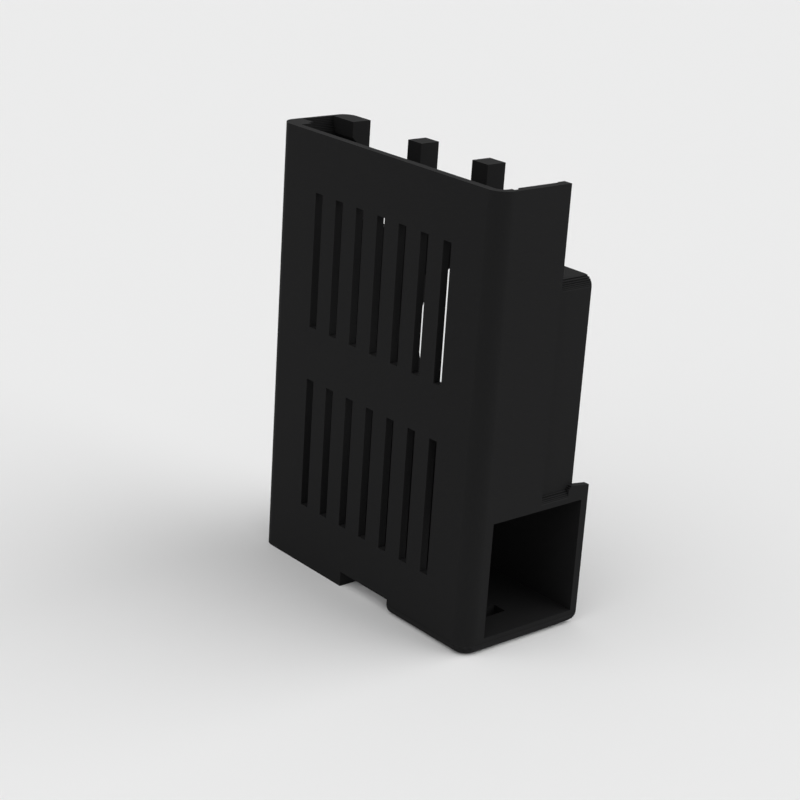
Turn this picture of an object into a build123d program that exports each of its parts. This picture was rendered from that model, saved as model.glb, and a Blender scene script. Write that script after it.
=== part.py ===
from build123d import *
import os

# A slim case for a credit-card-size computer board, printed in one piece.
# It stands on its closed end, with the board upright inside and the ports at the open top end.
# The model is drawn with X along the vented front wall from its left edge, Y from that wall
# to the back and Z up from the ground, and is moved at the end to the middle of its base.
# All sizes are in millimetres.

# The board that slides in from the top, and the room round it
board_width = 56.0
board_thickness = 1.45
board_play = 0.3
card_side_gap = 2.3
component_space = 9.35
connector_gap = 2.35

# Walls
vent_wall = 1.55
side_wall = 1.55
back_wall = 1.55
floor_thickness = 2.95
roof_thickness = 2.6
box_back_wall = 1.55

# Outer form
case_height = 85.0
lower_box_depth = 27.85
lower_box_height = 27.8
front_corner_radius = 3.2
back_corner_radius = 2.4
bottom_edge_radius = 2.1
box_bottom_radius = 2.5
box_top_radius = 3.4
box_side_radius = 1.65

# The groove on the right and the stepped rail on the left that hold the board's edges
groove_depth = 0.7
rail_overlap = 0.8
rail_stop_height = 1.1
rail_play = 0.1

# Ventilation slots in the front wall
slot_count = 7
slot_rows = 2
slot_width = 2.05
slot_length = 25.75
slot_pitch = 5.98
slot_row_pitch = 36.05
first_slot = 12.05
first_slot_height = 12.15

# Port openings at the top end: place across the board, width and length down the board
network_port = (10.95, 16.05, 18.7)
lower_usb_port = (29.6, 13.8, 15.1)
upper_usb_port = (47.95, 14.7, 15.1)

# Posts beside and between the port openings, and the bevel in front of the left post
post_depth = 4.15
left_post_height = 2.9
bevel_height = 2.9
bevel_lip = 0.4

# Notch for the memory card, and the cable-tie slot in the floor
card_notch_start = 25.35
card_notch_width = 14.0
card_notch_depth = 8.7
tie_slot_start = 51.9
tie_slot_width = 2.8
tie_slot_length = 7.8
tie_slot_back = 15.7

# Side tunnel for wires, and the small tab at its far top corner
tunnel_start = 4.8
tab_thickness = 1.2
tab_length = 5.1
tab_ramp = 0.7
tab_end_height = 0.1

# Fan seat on the back: a raised frame, a plate with a round hole and four screw holes
fan_size = 35.0
fan_screw_pitch = 29.0
fan_screw_hole = 2.8
fan_hole_diameter = 33.4
fan_side_room = 4.5
fan_end_room = 1.95
fan_frame_wall = 0.8
fan_frame_recess = 0.85
fan_frame_depth = 8.1
fan_frame_radius = 2.0
fan_plate_rise = 3.4

# Worked-out sizes
case_width = side_wall + connector_gap + board_width + board_play + side_wall - groove_depth
card_notch_end = card_notch_start + card_notch_width
board_left = side_wall + connector_gap
board_back = vent_wall + card_side_gap
board_front = board_back + board_thickness
rail_stop_top = board_back + rail_stop_height
body_depth = board_front + component_space + back_wall
body_back_inside = body_depth - back_wall
box_roof = lower_box_height - roof_thickness
box_back_inside = lower_box_depth - box_back_wall
fan_frame_right = case_width - fan_frame_recess
fan_frame_width = fan_size + 2 * fan_side_room + 2 * fan_frame_wall
fan_frame_left = fan_frame_right - fan_frame_width
fan_frame_top = lower_box_height + fan_size + 2 * fan_end_room + fan_frame_wall
fan_centre = fan_frame_left + fan_frame_width / 2
fan_height = lower_box_height + fan_end_room + fan_size / 2
fan_plate_back = body_depth + fan_plate_rise
cut_past = 1.0


def rectangle(x_from, x_to, y_from, y_to):
    """A rectangle between two corners of the sketch plane."""
    size = Rectangle(x_to - x_from, y_to - y_from, align=(Align.MIN, Align.MIN))
    return Pos(x_from, y_from) * size


def corner(sketch, x_side, y_side):
    """The corner of a sketch on the given sides, each -1 or 1."""
    return sketch.vertices().sort_by(lambda v: x_side * v.X + y_side * v.Y)[-1]


def upright(sketch, z_from, z_to):
    """A plan drawn on the ground, raised between two heights."""
    return Pos(0, 0, z_from) * extrude(sketch, z_to - z_from)


def crosswise(sketch, x_from, x_to):
    """A side profile, with Y across and Z up, drawn out along X."""
    return extrude(Plane.YZ.offset(x_from) * sketch, x_to - x_from)


def backwards(sketch, y_from, y_to):
    """A front profile, with X across and Z up, drawn out towards the back."""
    return extrude(Plane.XZ.offset(-y_from) * sketch, y_from - y_to)


def body_plan():
    """Outline of the upright body seen from above, with both front corners and one back corner round."""
    plan = rectangle(0, case_width, 0, body_depth)
    plan = fillet(plan.vertices().group_by(Axis.Y)[0], front_corner_radius)
    return fillet(corner(plan, -1, 1), back_corner_radius)


def card_notch():
    """The notch through the foot of the front wall and the floor behind it."""
    plan = rectangle(card_notch_start, card_notch_end, -cut_past, card_notch_depth)
    return upright(plan, -cut_past, floor_thickness)


def body():
    """The upright body, with its foot edges rounded from the card notch round the right side."""
    block = upright(body_plan(), 0, case_height) - card_notch()
    foot_edges = block.edges().group_by(Axis.Z)[0]
    right_edges = foot_edges.filter_by(lambda edge: edge.center().X > card_notch_end)
    return fillet(right_edges.filter_by(lambda edge: edge.center().Y < body_back_inside), bottom_edge_radius)


def lower_box():
    """The deeper box at the foot of the back, rounded where it meets the air."""
    side = rectangle(body_depth / 2, lower_box_depth, 0, lower_box_height)
    side = fillet(corner(side, 1, 1), box_top_radius)
    side = fillet(corner(side, 1, -1), box_bottom_radius)
    front = rectangle(0, case_width, 0, lower_box_height)
    front = fillet(corner(front, 1, 1), box_side_radius)
    front = fillet(corner(front, 1, -1), bottom_edge_radius)
    return crosswise(side, 0, case_width) & backwards(front, 0, lower_box_depth)


def tab():
    """A thin plate that squares off the tunnel's far top corner."""
    start = lower_box_depth - tab_length
    foot = lower_box_height - box_top_radius
    outline = Polyline(
        (start, foot),
        (start, lower_box_height),
        (start + tab_ramp, lower_box_height + tab_ramp),
        (lower_box_depth, lower_box_height + tab_end_height),
        (lower_box_depth, foot),
        close=True,
    )
    return crosswise(make_face(outline), case_width - tab_thickness, case_width)


def fan_seat():
    """The raised frame behind the body, solid as far as the fan plate."""
    frame = rectangle(fan_frame_left, fan_frame_right, box_roof, fan_frame_top)
    frame = fillet(frame.vertices().group_by(Axis.Y)[-1], fan_frame_radius)
    pocket = rectangle(
        fan_frame_left + fan_frame_wall,
        fan_frame_right - fan_frame_wall,
        lower_box_height,
        fan_frame_top - fan_frame_wall,
    )
    pocket = fillet(pocket.vertices().group_by(Axis.Y)[-1], fan_frame_radius - fan_frame_wall)
    frame_back = body_depth + fan_frame_depth
    return backwards(frame, body_back_inside, frame_back) - backwards(pocket, fan_plate_back, frame_back)


def fan_holes():
    """The air hole and the four screw holes through the fan plate."""
    holes = Circle(fan_hole_diameter / 2)
    holes += GridLocations(fan_screw_pitch, fan_screw_pitch, 2, 2) * Circle(fan_screw_hole / 2)
    return backwards(Pos(fan_centre, fan_height) * holes, body_back_inside - cut_past, fan_plate_back)


def board_bay():
    """The space inside the upright body, open at the top."""
    plan = rectangle(side_wall, case_width - side_wall, vent_wall, body_back_inside)
    plan = fillet(plan.vertices().group_by(Axis.Y)[0], front_corner_radius - side_wall)
    plan = fillet(corner(plan, -1, 1), back_corner_radius - back_wall)
    return upright(plan, floor_thickness, case_height + cut_past)


def tunnel():
    """The space inside the lower box, which leaves through the right wall."""
    plan = rectangle(side_wall, case_width + cut_past, tunnel_start, box_back_inside)
    return upright(plan, floor_thickness, box_roof)


def board_groove():
    """The groove in the right wall that takes the board's edge."""
    inside = case_width - side_wall
    plan = rectangle(inside, inside + groove_depth, board_back, board_front)
    return upright(plan, floor_thickness, case_height + cut_past)


def board_rail():
    """The stepped rail on the left: a ledge behind the board and a stop beside its edge."""
    plan = rectangle(side_wall, board_left + rail_overlap, vent_wall, board_back)
    plan += rectangle(side_wall, board_left - rail_play, board_back, rail_stop_top)
    return upright(plan, floor_thickness, case_height)


def port_sides(port):
    """The left and right sides of a port opening."""
    place, width, length = port
    middle = board_left + place
    return middle - width / 2, middle + width / 2


def port_opening(port, opening_back):
    """A port opening in the back wall, open at the top end."""
    left, right = port_sides(port)
    length = port[2]
    front = rectangle(left, right, case_height - length, case_height + cut_past)
    return backwards(front, body_back_inside - cut_past, opening_back)


def port_post(left, right, height):
    """A post on the back wall's inside, whose foot slopes back to the wall at 45 degrees."""
    foot = case_height - height
    outline = Polyline(
        (body_depth - post_depth, case_height),
        (body_depth - post_depth, foot),
        (body_back_inside, foot - post_depth + back_wall),
        (body_back_inside, case_height),
        close=True,
    )
    return crosswise(make_face(outline), left, right)


def port_posts():
    """A short post in the left corner, and a tall one on each side of the left USB opening."""
    network_left, network_right = port_sides(network_port)
    lower_left, lower_right = port_sides(lower_usb_port)
    upper_left, upper_right = port_sides(upper_usb_port)
    tall = network_port[2]
    posts = port_post(side_wall, network_left, left_post_height)
    posts += port_post(network_right, lower_left, tall)
    return posts + port_post(lower_right, upper_left, tall)


def wall_bevel():
    """The bevel along the left wall's inner top edge, from the board's stop to the left post."""
    front = Polyline(
        (side_wall, case_height - bevel_height),
        (bevel_lip, case_height),
        (side_wall, case_height),
        close=True,
    )
    return backwards(make_face(front), rail_stop_top, body_depth - post_depth)


def vent_slots():
    """Two rows of upright slots through the front wall."""
    across = first_slot + slot_width / 2 + slot_pitch * (slot_count - 1) / 2
    up = first_slot_height + slot_length / 2 + slot_row_pitch * (slot_rows - 1) / 2
    grid = GridLocations(slot_pitch, slot_row_pitch, slot_count, slot_rows)
    slots = Sketch() + grid * Rectangle(slot_width, slot_length)
    return backwards(Pos(across, up) * slots, -cut_past, vent_wall)


def tie_slot():
    """A slot through the floor of the tunnel for a cable tie."""
    plan = rectangle(
        tie_slot_start,
        tie_slot_start + tie_slot_width,
        tie_slot_back - tie_slot_length,
        tie_slot_back,
    )
    return upright(plan, -cut_past, floor_thickness)


shell = body() + lower_box() + tab() + fan_seat()
shell -= board_bay()
shell -= tunnel()
shell += board_rail()
shell += port_posts()
shell -= wall_bevel()
shell -= board_groove()
shell -= card_notch()
shell -= port_opening(network_port, fan_plate_back)
shell -= port_opening(lower_usb_port, body_depth)
shell -= port_opening(upper_usb_port, body_depth)
shell -= fan_holes()
shell -= vent_slots()
shell -= tie_slot()
shell = Pos(-case_width / 2, -lower_box_depth / 2, 0) * shell

os.makedirs("parts", exist_ok=True)
export_step(shell, "parts/case_shell.step")
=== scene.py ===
import math

import bmesh
import bpy
from mathutils import Euler, Matrix, Vector
from mathutils.bvhtree import BVHTree


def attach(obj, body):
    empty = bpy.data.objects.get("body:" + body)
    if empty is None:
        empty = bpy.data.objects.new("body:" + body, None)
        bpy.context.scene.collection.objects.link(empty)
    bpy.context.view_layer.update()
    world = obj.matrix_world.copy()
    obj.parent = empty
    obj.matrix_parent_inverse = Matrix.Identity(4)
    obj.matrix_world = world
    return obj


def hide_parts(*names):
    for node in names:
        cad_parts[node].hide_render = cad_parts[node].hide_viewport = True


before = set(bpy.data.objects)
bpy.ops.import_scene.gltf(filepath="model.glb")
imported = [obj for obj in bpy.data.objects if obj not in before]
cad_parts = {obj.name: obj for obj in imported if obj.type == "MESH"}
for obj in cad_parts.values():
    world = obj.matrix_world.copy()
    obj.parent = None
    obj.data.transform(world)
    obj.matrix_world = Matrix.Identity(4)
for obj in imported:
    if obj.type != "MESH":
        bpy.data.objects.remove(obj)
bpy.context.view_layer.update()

# Lengths are in metres and angles in degrees, except where a name says otherwise.

# The camera, where the photograph was taken from
CAMERA_PLACE = (0.25122, -0.22257, 0.15763)
CAMERA_AZIMUTH = 49.276
CAMERA_ELEVATION = 19.827
CAMERA_ROLL = 3.798
CAMERA_LENS_MM = 85.86
CAMERA_SENSOR_MM = 36.0
CAMERA_NEAREST = 0.01

# Printed plastic
PLASTIC_COLOUR = (0.0139, 0.0139, 0.0142)
PLASTIC_ROUGHNESS = 0.62
PLASTIC_SPECULAR = 0.03

# The steps that the printed layers leave on slopes. A face is a slope where the upward part
# of its normal lies between two limits.
LAYER_HEIGHT = 0.0003
LAYER_GAP = 0.00001
SLOPE_FROM = 0.05
SLOPE_TO = 0.985
SLOPE_REACH = 0.003
# Painted shade at the foot of each layer step and painted highlight along its top, as a share of the
# plastic's colour
STEP_PAINTED_SHADE_AND_HIGHLIGHT = 0.7

# What counts as one point, one height, no width, one plane and a sharp edge
SAME_POINT = 0.000001
SAME_HEIGHT = 0.0000001
THINNEST_FACE = 0.000005
FLAT_ANGLE = 0.2
EDGE_ANGLE = 30

# How much the larger of the faces that meet sets the shading there, from 1 to 100
LARGE_FACE_WEIGHT = 100

# The fine layer lines and the uneven strands on the walls. The lines are a bump, and a colour wave as
# well, with painted shade in the grooves between layers and painted highlight on the strands
LINE_PAINTED_SHADE_AND_HIGHLIGHT = 0.08
LINE_DEPTH = 0.000002
STRAND_LENGTH = 0.004
STRAND_DEPTH = 0.000012

# The two kinds of face while the steps are made, kept as material numbers
LEVEL_OR_UPRIGHT = 0
SLOPE = 1

# Stage
FLOOR_SIZE = 6.0
FLOOR_COLOUR = (0.85, 0.85, 0.85, 1.0)
FLOOR_ROUGHNESS = 0.9

# Light: a sky that is brightest straight above, a backdrop, and a soft lamp on each side
# of the camera, turned away from the camera's azimuth
SKY_EDGE = 0.14
SKY_TOP = 0.59
BACKDROP = 0.84
WHITE = (1.0, 1.0, 1.0, 1.0)
LAMP_SOFTNESS = 70
RIGHT_LAMP = 1.75
RIGHT_LAMP_TURN = 88
RIGHT_LAMP_ELEVATION = 35
LEFT_LAMP = 1.0
LEFT_LAMP_TURN = -50
LEFT_LAMP_ELEVATION = 45


def new_material(name):
    """A material with its nodes cleared, and its shader and output."""
    material = bpy.data.materials.new(name)
    material.use_nodes = True
    nodes = material.node_tree.nodes
    nodes.clear()
    output = nodes.new("ShaderNodeOutputMaterial")
    shader = nodes.new("ShaderNodeBsdfPrincipled")
    material.node_tree.links.new(shader.outputs["BSDF"], output.inputs["Surface"])
    return material, shader


def math_node(owner, operation, first, second):
    """A maths node of a material or world, fed by two sockets or numbers, and its output."""
    node = owner.node_tree.nodes.new("ShaderNodeMath")
    node.operation = operation
    for socket, value in zip(node.inputs, (first, second)):
        if isinstance(value, bpy.types.NodeSocket):
            owner.node_tree.links.new(value, socket)
        else:
            socket.default_value = value
    return node.outputs["Value"]


def strand_noise(material, place):
    """Noise drawn out along the printed strands, one layer high."""
    nodes = material.node_tree.nodes
    links = material.node_tree.links
    stretch = nodes.new("ShaderNodeVectorMath")
    stretch.operation = "DIVIDE"
    stretch.inputs[1].default_value = (STRAND_LENGTH, STRAND_LENGTH, LAYER_HEIGHT)
    noise = nodes.new("ShaderNodeTexNoise")
    noise.inputs["Scale"].default_value = 1.0
    noise.inputs["Detail"].default_value = 1.0
    links.new(place, stretch.inputs[0])
    links.new(stretch.outputs["Vector"], noise.inputs["Vector"])
    return noise.outputs["Fac"]


def plastic_material():
    """Matte black plastic, printed in fine flat layers, with painted shade and painted highlight on
    the layer steps and the layer lines.
    """
    material, shader = new_material("printed_black_plastic")
    nodes = material.node_tree.nodes
    links = material.node_tree.links
    shader.inputs["Roughness"].default_value = PLASTIC_ROUGHNESS
    shader.inputs["Specular IOR Level"].default_value = PLASTIC_SPECULAR
    place = nodes.new("ShaderNodeTexCoord").outputs["Object"]
    split = nodes.new("ShaderNodeSeparateXYZ")
    links.new(place, split.inputs["Vector"])
    turns = math_node(material, "MULTIPLY", split.outputs["Z"], 2 * math.pi / LAYER_HEIGHT)
    wave = math_node(material, "SINE", turns, 0.0)
    strands = strand_noise(material, place)

    # Painted shade and highlight on the layer steps: darker where the slopes' corners carry -1,
    # lighter where they carry 1
    tone = nodes.new("ShaderNodeAttribute")
    tone.attribute_name = "painted_step_shade_and_highlight"
    steps = math_node(material, "MULTIPLY", tone.outputs["Fac"], STEP_PAINTED_SHADE_AND_HIGHLIGHT)
    # The wave, uneven along the strands, paints faint shade in the grooves between layers and faint
    # highlight on the strands
    contrast = math_node(material, "MULTIPLY", strands, LINE_PAINTED_SHADE_AND_HIGHLIGHT)
    light = math_node(material, "ADD", math_node(material, "MULTIPLY", wave, contrast), 1.0)
    light = math_node(material, "ADD", light, steps)
    colour = nodes.new("ShaderNodeVectorMath")
    colour.operation = "SCALE"
    colour.inputs[0].default_value = PLASTIC_COLOUR
    links.new(light, colour.inputs["Scale"])
    links.new(colour.outputs["Vector"], shader.inputs["Base Color"])

    lines = math_node(material, "MULTIPLY", wave, LINE_DEPTH)
    uneven = math_node(material, "MULTIPLY", strands, STRAND_DEPTH)
    bump = nodes.new("ShaderNodeBump")
    bump.inputs["Distance"].default_value = 1.0
    links.new(math_node(material, "ADD", lines, uneven), bump.inputs["Height"])
    links.new(bump.outputs["Normal"], shader.inputs["Normal"])
    return material


def mark_slopes(form):
    """Gives each face its kind."""
    for face in form.faces:
        sloped = SLOPE_FROM < abs(face.normal.z) < SLOPE_TO
        face.material_index = SLOPE if sloped else LEVEL_OR_UPRIGHT


def join_flat_faces(form):
    """Joins neighbouring faces of one kind that lie in one plane, and edges that lie in one line."""
    bmesh.ops.dissolve_limit(
        form,
        angle_limit=math.radians(FLAT_ANGLE),
        verts=form.verts,
        edges=form.edges,
        delimit={"MATERIAL"},
    )


def cut_slopes(form):
    """Cuts the slopes just below and just above the top of each printed layer."""
    top = max(vertex.co.z for vertex in form.verts)
    for layer in range(1, math.ceil(top / LAYER_HEIGHT)):
        layer_top = layer * LAYER_HEIGHT
        for height in (layer_top - LAYER_GAP, layer_top + LAYER_GAP):
            faces = []
            for face in form.faces:
                heights = [vertex.co.z for vertex in face.verts]
                if face.material_index == SLOPE and min(heights) < height < max(heights):
                    faces.append(face)
            edges = dict.fromkeys(edge for face in faces for edge in face.edges)
            vertices = dict.fromkeys(vertex for face in faces for vertex in face.verts)
            bmesh.ops.bisect_plane(
                form,
                geom=[*faces, *edges, *vertices],
                dist=SAME_HEIGHT,
                plane_co=(0, 0, height),
                plane_no=(0, 0, 1),
            )


def slope_direction(vertex):
    """The level direction in which the slopes at a vertex face, or None where it has to stay."""
    out = Vector()
    for face in vertex.link_faces:
        if face.material_index == SLOPE:
            out += face.normal * face.calc_area()
    out.z = 0
    if out.length == 0:
        return None
    out.normalize()
    for face in vertex.link_faces:
        if face.material_index != SLOPE and abs(face.normal.dot(out)) > SLOPE_FROM:
            return None
    return out


def layer_distance(vertex, out, surface):
    """How far out from a vertex the smooth surface is at the middle of its layer, or None."""
    along = Vector()
    for face in vertex.link_faces:
        if face.material_index == SLOPE:
            along += face.calc_center_median() - vertex.co
    along.z = 0
    along -= out * along.dot(out)

    # The rays start a hair along the slope, so that none slips past its end.
    start = vertex.co + along.normalized() * SAME_POINT
    layer = math.floor(vertex.co.z / LAYER_HEIGHT)
    start.z = (layer + 0.5) * LAYER_HEIGHT
    distances = []
    for way in (out, -out):
        spot = surface.ray_cast(start, way, SLOPE_REACH)[0]
        if spot is not None:
            distances.append((spot - start).dot(out))
    return min(distances, key=abs, default=None)


def step_slopes(form, surface):
    """Moves the slopes' vertices to where their layers stand. A sign of 1 or -1 keeps which way, and
    the material paints shade from it where it is -1, at the foot of each step, and a highlight where
    it is 1, along the step's top.
    """
    shifts = {}
    painted_step_signs = {}
    for vertex in form.verts:
        out = slope_direction(vertex)
        distance = layer_distance(vertex, out, surface) if out else None
        if distance is not None:
            shifts[vertex] = out * distance
            painted_step_signs[vertex] = math.copysign(1.0, distance)
    for vertex, shift in shifts.items():
        vertex.co += shift
    # The slopes' corners keep the sign, which the material turns into painted shade and painted
    # highlight on the steps
    painted_step_shade_and_highlight = form.loops.layers.float.new("painted_step_shade_and_highlight")
    for face in form.faces:
        if face.material_index == SLOPE:
            for corner in face.loops:
                corner[painted_step_shade_and_highlight] = painted_step_signs.get(corner.vert, 0.0)


def clean_up(form):
    """Takes out the points and faces that the steps left with no width, and joins flat faces."""
    bmesh.ops.remove_doubles(form, verts=form.verts, dist=SAME_POINT)
    bmesh.ops.dissolve_degenerate(form, dist=THINNEST_FACE, edges=form.edges)
    join_flat_faces(form)


def shade_faces(form):
    """Rounds the shading over slight edges, but not between slopes and other faces."""
    for edge in form.edges:
        kinds = {face.material_index for face in edge.link_faces}
        edge.smooth = len(kinds) == 1 and edge.calc_face_angle() < math.radians(EDGE_ANGLE)

    # The kinds have done their work, so every face gets the case's one material.
    for face in form.faces:
        face.material_index = 0
        face.smooth = True


def add_printed_case(cad):
    """The case with its slopes stepped in layers, as it was printed."""
    form = bmesh.new()
    form.from_mesh(cad.data)
    bmesh.ops.remove_doubles(form, verts=form.verts, dist=SAME_POINT)
    join_flat_faces(form)
    mark_slopes(form)
    surface = BVHTree.FromBMesh(form)
    cut_slopes(form)
    step_slopes(form, surface)
    clean_up(form)
    shade_faces(form)
    mesh = bpy.data.meshes.new("case_print")
    form.to_mesh(mesh)
    form.free()
    mesh.materials.append(plastic_material())
    case = bpy.data.objects.new("case_print", mesh)
    bpy.context.scene.collection.objects.link(case)
    shading = case.modifiers.new("flat_faces_stay_flat", "WEIGHTED_NORMAL")
    shading.weight = LARGE_FACE_WEIGHT
    shading.keep_sharp = True
    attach(case, "root")
    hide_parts("case_shell")


def floor_material():
    """Plain pale studio floor."""
    material, shader = new_material("studio_floor")
    shader.inputs["Base Color"].default_value = FLOOR_COLOUR
    shader.inputs["Roughness"].default_value = FLOOR_ROUGHNESS
    shader.inputs["Specular IOR Level"].default_value = 0.0
    return material


def add_stage():
    """The floor that the case stands on."""
    bpy.ops.mesh.primitive_plane_add(size=FLOOR_SIZE)
    floor = bpy.context.object
    floor.name = "studio_floor"
    floor.data.materials.append(floor_material())


def add_world():
    """White light from all round, stronger from above, in front of a pale backdrop."""
    world = bpy.data.worlds.new("studio")
    world.use_nodes = True
    nodes = world.node_tree.nodes
    links = world.node_tree.links
    place = nodes.new("ShaderNodeTexCoord")
    split = nodes.new("ShaderNodeSeparateXYZ")
    strength = nodes.new("ShaderNodeMapRange")
    strength.inputs["From Min"].default_value = 0.0
    strength.inputs["From Max"].default_value = 1.0
    strength.inputs["To Min"].default_value = SKY_EDGE
    strength.inputs["To Max"].default_value = SKY_TOP
    ray = nodes.new("ShaderNodeLightPath").outputs
    seen = math_node(world, "MAXIMUM", ray["Is Camera Ray"], ray["Is Glossy Ray"])
    seen = math_node(world, "MAXIMUM", seen, ray["Is Transmission Ray"])
    shown = nodes.new("ShaderNodeMix")
    shown.inputs["B"].default_value = BACKDROP
    links.new(place.outputs["Generated"], split.inputs["Vector"])
    links.new(split.outputs["Z"], strength.inputs["Value"])
    links.new(seen, shown.inputs["Factor"])
    links.new(strength.outputs["Result"], shown.inputs["A"])
    links.new(shown.outputs["Result"], nodes["Background"].inputs["Strength"])
    nodes["Background"].inputs["Color"].default_value = WHITE
    bpy.context.scene.world = world


def add_lamp(name, azimuth, elevation, strength):
    """A soft lamp far away, in a direction counted like the camera's."""
    data = bpy.data.lights.new(name, "SUN")
    data.energy = strength
    data.angle = math.radians(LAMP_SOFTNESS)
    lamp = bpy.data.objects.new(name, data)
    lamp.rotation_euler = (math.radians(90 - elevation), 0, math.radians(azimuth))
    bpy.context.scene.collection.objects.link(lamp)


def add_camera():
    """The camera at the photograph's place and angle."""
    data = bpy.data.cameras.new("camera")
    data.sensor_width = CAMERA_SENSOR_MM
    data.lens = CAMERA_LENS_MM
    data.clip_start = CAMERA_NEAREST
    camera = bpy.data.objects.new("camera", data)
    bpy.context.scene.collection.objects.link(camera)
    aim = Euler((math.radians(90 - CAMERA_ELEVATION), 0, math.radians(CAMERA_AZIMUTH))).to_matrix()
    turn = Matrix.Rotation(math.radians(CAMERA_ROLL), 3, "Z")
    camera.matrix_world = Matrix.LocRotScale(Vector(CAMERA_PLACE), (aim @ turn).to_quaternion(), None)
    bpy.context.scene.camera = camera


add_printed_case(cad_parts["case_shell"])
add_stage()
add_world()
add_lamp("right_lamp", CAMERA_AZIMUTH + RIGHT_LAMP_TURN, RIGHT_LAMP_ELEVATION, RIGHT_LAMP)
add_lamp("left_lamp", CAMERA_AZIMUTH + LEFT_LAMP_TURN, LEFT_LAMP_ELEVATION, LEFT_LAMP)
add_camera()
bpy.context.scene.view_settings.view_transform = "Standard"
